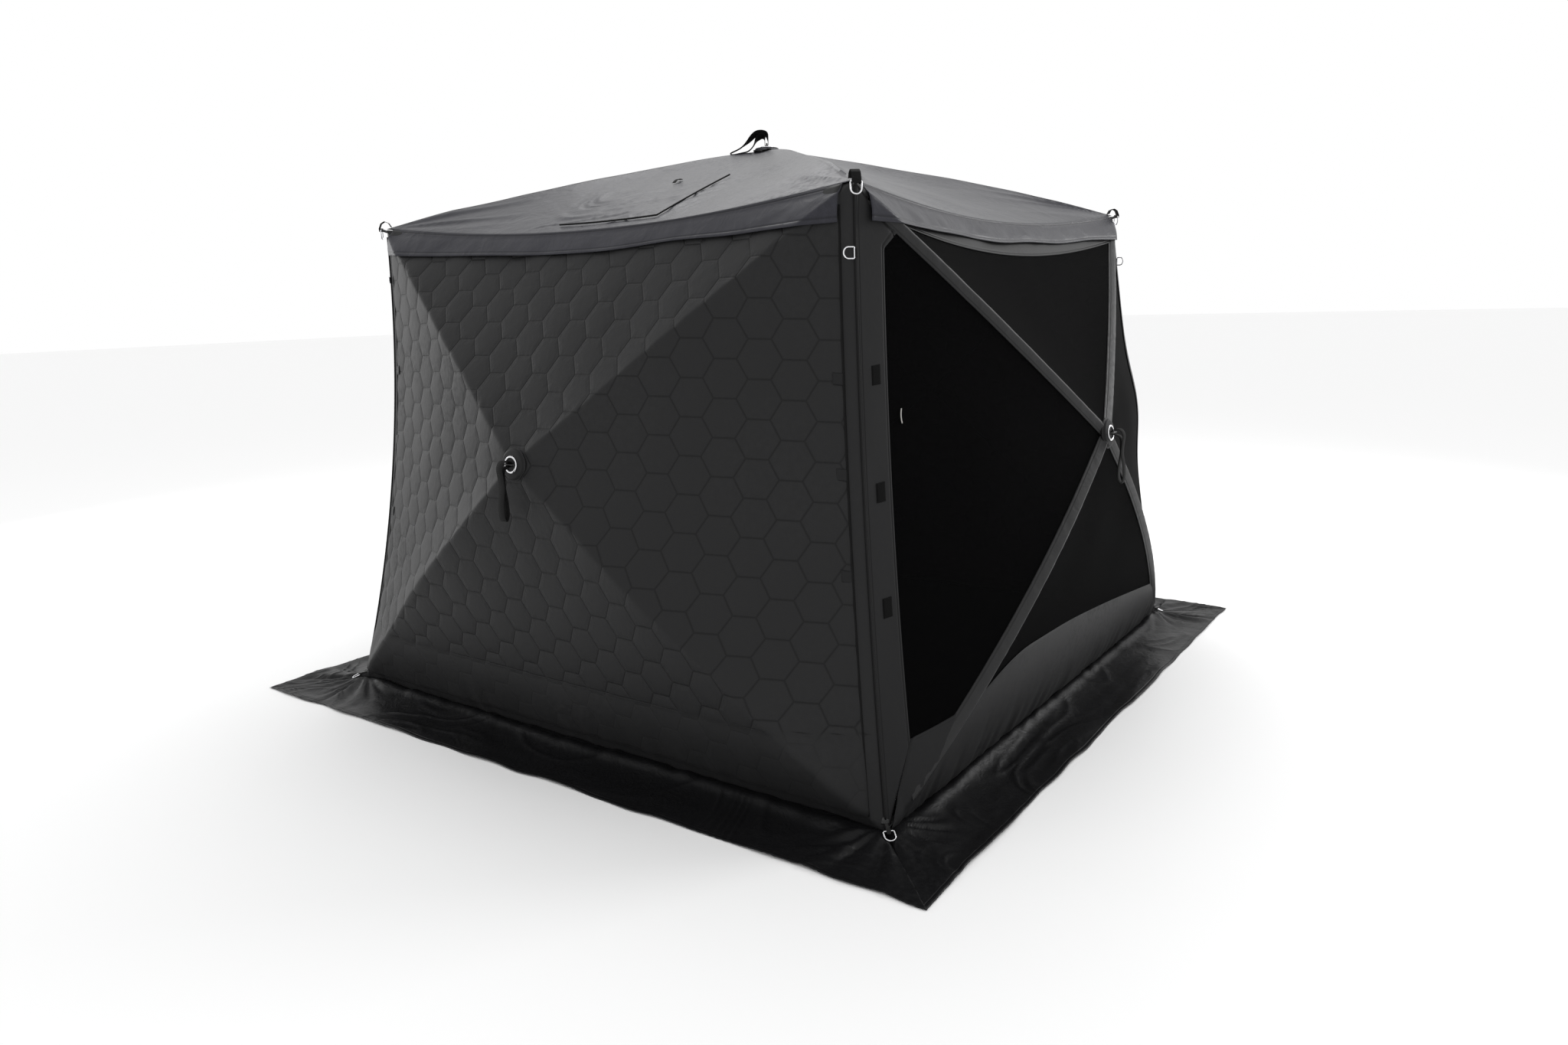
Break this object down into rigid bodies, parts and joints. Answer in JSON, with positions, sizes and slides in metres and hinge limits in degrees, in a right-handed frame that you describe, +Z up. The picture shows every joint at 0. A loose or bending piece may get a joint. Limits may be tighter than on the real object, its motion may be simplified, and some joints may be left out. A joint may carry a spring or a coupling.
{
  "type": "pop up ground blind",
  "caption": "Square pop-up ground blind: quilted and screened hub-sprung walls, roof fly with a valance, ground skirt, pull straps and corner rings.",
  "frame": {"origin": "on the ground, under the middle of the blind's base", "axes": "+Z up, -Y out of the front quilted wall, +X out of the screened wall"},
  "size_m": [2.9, 2.9, 2.054],
  "materials": {
    "quilted_cloth": "quilted brushed polyester, dull",
    "plain_cloth": "plain woven polyester, dull",
    "screen_mesh": "fine knitted see-through mesh",
    "fly_cloth": "coated polyester with a soft sheen",
    "skirt_cloth": "coated polyester with a soft sheen",
    "hub_plastic": "moulded, fine grain",
    "corner_plastic": "moulded, fine grain",
    "pole_fibreglass": "pultruded fibreglass, satin",
    "webbing": "woven polypropylene webbing",
    "ring_steel": "bright plated steel wire"
  },
  "bodies": {
    "root": {"wall_front": "quilted_cloth", "wall_back": "quilted_cloth", "wall_left": "quilted_cloth", "wall_right_frame": "plain_cloth", "screen_bottom": "screen_mesh", "screen_far": "screen_mesh", "screen_top": "screen_mesh", "screen_near": "screen_mesh", "roof_fly": "fly_cloth", "skirt_front": "skirt_cloth", "skirt_right": "skirt_cloth", "skirt_back": "skirt_cloth", "skirt_left": "skirt_cloth", "corner_top_front_right": "corner_plastic", "corner_top_back_right": "corner_plastic", "corner_top_back_left": "corner_plastic", "corner_top_front_left": "corner_plastic", "corner_base_front_right": "corner_plastic", "corner_base_back_right": "corner_plastic", "corner_base_back_left": "corner_plastic", "corner_base_front_left": "corner_plastic"},
    "hub_front": {"hub_front": "hub_plastic"},
    "pole_front_base_left": {"pole_front_base_left": "pole_fibreglass"},
    "pole_front_base_right": {"pole_front_base_right": "pole_fibreglass"},
    "pole_front_top_right": {"pole_front_top_right": "pole_fibreglass"},
    "pole_front_top_left": {"pole_front_top_left": "pole_fibreglass"},
    "strap_front": {"strap_front": "webbing"},
    "hub_right": {"hub_right": "hub_plastic"},
    "pole_right_base_left": {"pole_right_base_left": "pole_fibreglass"},
    "pole_right_base_right": {"pole_right_base_right": "pole_fibreglass"},
    "pole_right_top_right": {"pole_right_top_right": "pole_fibreglass"},
    "pole_right_top_left": {"pole_right_top_left": "pole_fibreglass"},
    "strap_right": {"strap_right": "webbing"},
    "hub_back": {"hub_back": "hub_plastic"},
    "pole_back_base_left": {"pole_back_base_left": "pole_fibreglass"},
    "pole_back_base_right": {"pole_back_base_right": "pole_fibreglass"},
    "pole_back_top_right": {"pole_back_top_right": "pole_fibreglass"},
    "pole_back_top_left": {"pole_back_top_left": "pole_fibreglass"},
    "strap_back": {"strap_back": "webbing"},
    "hub_left": {"hub_left": "hub_plastic"},
    "pole_left_base_left": {"pole_left_base_left": "pole_fibreglass"},
    "pole_left_base_right": {"pole_left_base_right": "pole_fibreglass"},
    "pole_left_top_right": {"pole_left_top_right": "pole_fibreglass"},
    "pole_left_top_left": {"pole_left_top_left": "pole_fibreglass"},
    "strap_left": {"strap_left": "webbing"},
    "hub_roof": {"hub_roof": "hub_plastic"},
    "pole_roof_front_right": {"pole_roof_front_right": "pole_fibreglass"},
    "pole_roof_back_right": {"pole_roof_back_right": "pole_fibreglass"},
    "pole_roof_back_left": {"pole_roof_back_left": "pole_fibreglass"},
    "pole_roof_front_left": {"pole_roof_front_left": "pole_fibreglass"},
    "strap_roof": {"strap_roof": "webbing"},
    "ring_top_front_right": {"ring_top_front_right": "ring_steel"},
    "ring_top_back_right": {"ring_top_back_right": "ring_steel"},
    "ring_top_back_left": {"ring_top_back_left": "ring_steel"},
    "ring_top_front_left": {"ring_top_front_left": "ring_steel"},
    "ring_base_front_right": {"ring_base_front_right": "ring_steel"},
    "ring_base_back_right": {"ring_base_back_right": "ring_steel"},
    "ring_base_back_left": {"ring_base_back_left": "ring_steel"},
    "ring_base_front_left": {"ring_base_front_left": "ring_steel"}
  },
  "joints": [
    {"name": "hub_front_pull", "type": "slide", "parent": "root", "child": "hub_front", "axis": [0, -0.9946, 0.1042], "range_m": [-0.4999, 0], "deforming": ["wall_front"]},
    {"name": "pole_front_base_left_hinge", "type": "hinge", "parent": "hub_front", "child": "pole_front_base_left", "pos_m": [-0.02045, -1.34295, 0.95136], "axis": [-0.6176, 0.082, 0.7822], "range_deg": [-0.5, 20.69]},
    {"name": "pole_front_base_right_hinge", "type": "hinge", "parent": "hub_front", "child": "pole_front_base_right", "pos_m": [0.02045, -1.34295, 0.95136], "axis": [-0.6176, -0.082, -0.7822], "range_deg": [-0.5, 20.69]},
    {"name": "pole_front_top_right_hinge", "type": "hinge", "parent": "hub_front", "child": "pole_front_top_right", "pos_m": [0.02045, -1.3396, 0.9833], "axis": [0.6176, -0.082, -0.7822], "range_deg": [-0.5, 24.27]},
    {"name": "pole_front_top_left_hinge", "type": "hinge", "parent": "hub_front", "child": "pole_front_top_left", "pos_m": [-0.02045, -1.3396, 0.9833], "axis": [0.6176, 0.082, 0.7822], "range_deg": [-0.5, 24.27]},
    {"name": "strap_front_swing", "type": "hinge", "parent": "hub_front", "child": "strap_front", "pos_m": [0, -1.38155, 0.97155], "axis": [-1, 0, 0], "range_deg": [-4, 150]},
    {"name": "hub_right_pull", "type": "slide", "parent": "root", "child": "hub_right", "axis": [0.9946, 0, 0.1042], "range_m": [-0.4999, 0], "deforming": ["wall_right_frame", "screen_bottom", "screen_far", "screen_top", "screen_near"]},
    {"name": "pole_right_base_left_hinge", "type": "hinge", "parent": "hub_right", "child": "pole_right_base_left", "pos_m": [1.34295, -0.02045, 0.95136], "axis": [-0.082, -0.6176, 0.7822], "range_deg": [-0.5, 20.69]},
    {"name": "pole_right_base_right_hinge", "type": "hinge", "parent": "hub_right", "child": "pole_right_base_right", "pos_m": [1.34295, 0.02045, 0.95136], "axis": [0.082, -0.6176, -0.7822], "range_deg": [-0.5, 20.69]},
    {"name": "pole_right_top_right_hinge", "type": "hinge", "parent": "hub_right", "child": "pole_right_top_right", "pos_m": [1.3396, 0.02045, 0.9833], "axis": [0.082, 0.6176, -0.7822], "range_deg": [-0.5, 24.27]},
    {"name": "pole_right_top_left_hinge", "type": "hinge", "parent": "hub_right", "child": "pole_right_top_left", "pos_m": [1.3396, -0.02045, 0.9833], "axis": [-0.082, 0.6176, 0.7822], "range_deg": [-0.5, 24.27]},
    {"name": "strap_right_swing", "type": "hinge", "parent": "hub_right", "child": "strap_right", "pos_m": [1.38155, 0, 0.97155], "axis": [0, -1, 0], "range_deg": [-4, 150]},
    {"name": "hub_back_pull", "type": "slide", "parent": "root", "child": "hub_back", "axis": [0, 0.9946, 0.1042], "range_m": [-0.4999, 0], "deforming": ["wall_back"]},
    {"name": "pole_back_base_left_hinge", "type": "hinge", "parent": "hub_back", "child": "pole_back_base_left", "pos_m": [0.02045, 1.34295, 0.95136], "axis": [0.6176, -0.082, 0.7822], "range_deg": [-0.5, 20.69]},
    {"name": "pole_back_base_right_hinge", "type": "hinge", "parent": "hub_back", "child": "pole_back_base_right", "pos_m": [-0.02045, 1.34295, 0.95136], "axis": [0.6176, 0.082, -0.7822], "range_deg": [-0.5, 20.69]},
    {"name": "pole_back_top_right_hinge", "type": "hinge", "parent": "hub_back", "child": "pole_back_top_right", "pos_m": [-0.02045, 1.3396, 0.9833], "axis": [-0.6176, 0.082, -0.7822], "range_deg": [-0.5, 24.27]},
    {"name": "pole_back_top_left_hinge", "type": "hinge", "parent": "hub_back", "child": "pole_back_top_left", "pos_m": [0.02045, 1.3396, 0.9833], "axis": [-0.6176, -0.082, 0.7822], "range_deg": [-0.5, 24.27]},
    {"name": "strap_back_swing", "type": "hinge", "parent": "hub_back", "child": "strap_back", "pos_m": [0, 1.38155, 0.97155], "axis": [1, 0, 0], "range_deg": [-4, 150]},
    {"name": "hub_left_pull", "type": "slide", "parent": "root", "child": "hub_left", "axis": [-0.9946, 0, 0.1042], "range_m": [-0.4999, 0], "deforming": ["wall_left"]},
    {"name": "pole_left_base_left_hinge", "type": "hinge", "parent": "hub_left", "child": "pole_left_base_left", "pos_m": [-1.34295, 0.02045, 0.95136], "axis": [0.082, 0.6176, 0.7822], "range_deg": [-0.5, 20.69]},
    {"name": "pole_left_base_right_hinge", "type": "hinge", "parent": "hub_left", "child": "pole_left_base_right", "pos_m": [-1.34295, -0.02045, 0.95136], "axis": [-0.082, 0.6176, -0.7822], "range_deg": [-0.5, 20.69]},
    {"name": "pole_left_top_right_hinge", "type": "hinge", "parent": "hub_left", "child": "pole_left_top_right", "pos_m": [-1.3396, -0.02045, 0.9833], "axis": [-0.082, -0.6176, -0.7822], "range_deg": [-0.5, 24.27]},
    {"name": "pole_left_top_left_hinge", "type": "hinge", "parent": "hub_left", "child": "pole_left_top_left", "pos_m": [-1.3396, 0.02045, 0.9833], "axis": [0.082, -0.6176, 0.7822], "range_deg": [-0.5, 24.27]},
    {"name": "strap_left_swing", "type": "hinge", "parent": "hub_left", "child": "strap_left", "pos_m": [-1.38155, 0, 0.97155], "axis": [0, 1, 0], "range_deg": [-4, 150]},
    {"name": "hub_roof_pull", "type": "slide", "parent": "root", "child": "hub_roof", "axis": [0, 0, 1], "range_m": [-0.5006, 0], "deforming": ["roof_fly"]},
    {"name": "pole_roof_front_right_hinge", "type": "hinge", "parent": "hub_roof", "child": "pole_roof_front_right", "pos_m": [0.01838, -0.01838, 1.98], "axis": [-0.7071, -0.7071, 0], "range_deg": [-0.5, 21.88]},
    {"name": "pole_roof_back_right_hinge", "type": "hinge", "parent": "hub_roof", "child": "pole_roof_back_right", "pos_m": [0.01838, 0.01838, 1.98], "axis": [0.7071, -0.7071, 0], "range_deg": [-0.5, 21.88]},
    {"name": "pole_roof_back_left_hinge", "type": "hinge", "parent": "hub_roof", "child": "pole_roof_back_left", "pos_m": [-0.01838, 0.01838, 1.98], "axis": [0.7071, 0.7071, 0], "range_deg": [-0.5, 21.88]},
    {"name": "pole_roof_front_left_hinge", "type": "hinge", "parent": "hub_roof", "child": "pole_roof_front_left", "pos_m": [-0.01838, -0.01838, 1.98], "axis": [-0.7071, 0.7071, 0], "range_deg": [-0.5, 21.88]},
    {"name": "strap_roof_swing", "type": "hinge", "parent": "hub_roof", "child": "strap_roof", "pos_m": [0, 0, 2.0205], "axis": [-0.5878, 0.809, 0], "range_deg": [0, 160]},
    {"name": "ring_top_front_right_swing", "type": "hinge", "parent": "root", "child": "ring_top_front_right", "pos_m": [1.02414, -1.02414, 1.73], "axis": [-0.7071, -0.7071, 0], "range_deg": [-8, 120]},
    {"name": "ring_top_back_right_swing", "type": "hinge", "parent": "root", "child": "ring_top_back_right", "pos_m": [1.02414, 1.02414, 1.73], "axis": [0.7071, -0.7071, 0], "range_deg": [-8, 120]},
    {"name": "ring_top_back_left_swing", "type": "hinge", "parent": "root", "child": "ring_top_back_left", "pos_m": [-1.02414, 1.02414, 1.73], "axis": [0.7071, 0.7071, 0], "range_deg": [-8, 120]},
    {"name": "ring_top_front_left_swing", "type": "hinge", "parent": "root", "child": "ring_top_front_left", "pos_m": [-1.02414, -1.02414, 1.73], "axis": [-0.7071, 0.7071, 0], "range_deg": [-8, 120]},
    {"name": "ring_base_front_right_swing", "type": "hinge", "parent": "root", "child": "ring_base_front_right", "pos_m": [1.20414, -1.20414, 0.03], "axis": [-0.7071, -0.7071, 0], "range_deg": [0, 100]},
    {"name": "ring_base_back_right_swing", "type": "hinge", "parent": "root", "child": "ring_base_back_right", "pos_m": [1.20414, 1.20414, 0.03], "axis": [0.7071, -0.7071, 0], "range_deg": [0, 100]},
    {"name": "ring_base_back_left_swing", "type": "hinge", "parent": "root", "child": "ring_base_back_left", "pos_m": [-1.20414, 1.20414, 0.03], "axis": [0.7071, 0.7071, 0], "range_deg": [0, 100]},
    {"name": "ring_base_front_left_swing", "type": "hinge", "parent": "root", "child": "ring_base_front_left", "pos_m": [-1.20414, -1.20414, 0.03], "axis": [-0.7071, 0.7071, 0], "range_deg": [0, 100]}
  ],
  "couplings": [
    {"joint": "pole_front_base_left_hinge", "follows": "hub_front_pull", "rad_per_m": -0.70479},
    {"joint": "pole_front_base_right_hinge", "follows": "hub_front_pull", "rad_per_m": -0.70479},
    {"joint": "pole_front_top_right_hinge", "follows": "hub_front_pull", "rad_per_m": -0.83004},
    {"joint": "pole_front_top_left_hinge", "follows": "hub_front_pull", "rad_per_m": -0.83004},
    {"joint": "pole_right_base_left_hinge", "follows": "hub_right_pull", "rad_per_m": -0.70479},
    {"joint": "pole_right_base_right_hinge", "follows": "hub_right_pull", "rad_per_m": -0.70479},
    {"joint": "pole_right_top_right_hinge", "follows": "hub_right_pull", "rad_per_m": -0.83004},
    {"joint": "pole_right_top_left_hinge", "follows": "hub_right_pull", "rad_per_m": -0.83004},
    {"joint": "pole_back_base_left_hinge", "follows": "hub_back_pull", "rad_per_m": -0.70479},
    {"joint": "pole_back_base_right_hinge", "follows": "hub_back_pull", "rad_per_m": -0.70479},
    {"joint": "pole_back_top_right_hinge", "follows": "hub_back_pull", "rad_per_m": -0.83004},
    {"joint": "pole_back_top_left_hinge", "follows": "hub_back_pull", "rad_per_m": -0.83004},
    {"joint": "pole_left_base_left_hinge", "follows": "hub_left_pull", "rad_per_m": -0.70479},
    {"joint": "pole_left_base_right_hinge", "follows": "hub_left_pull", "rad_per_m": -0.70479},
    {"joint": "pole_left_top_right_hinge", "follows": "hub_left_pull", "rad_per_m": -0.83004},
    {"joint": "pole_left_top_left_hinge", "follows": "hub_left_pull", "rad_per_m": -0.83004},
    {"joint": "pole_roof_front_right_hinge", "follows": "hub_roof_pull", "rad_per_m": -0.74545},
    {"joint": "pole_roof_back_right_hinge", "follows": "hub_roof_pull", "rad_per_m": -0.74545},
    {"joint": "pole_roof_back_left_hinge", "follows": "hub_roof_pull", "rad_per_m": -0.74545},
    {"joint": "pole_roof_front_left_hinge", "follows": "hub_roof_pull", "rad_per_m": -0.74545}
  ]
}
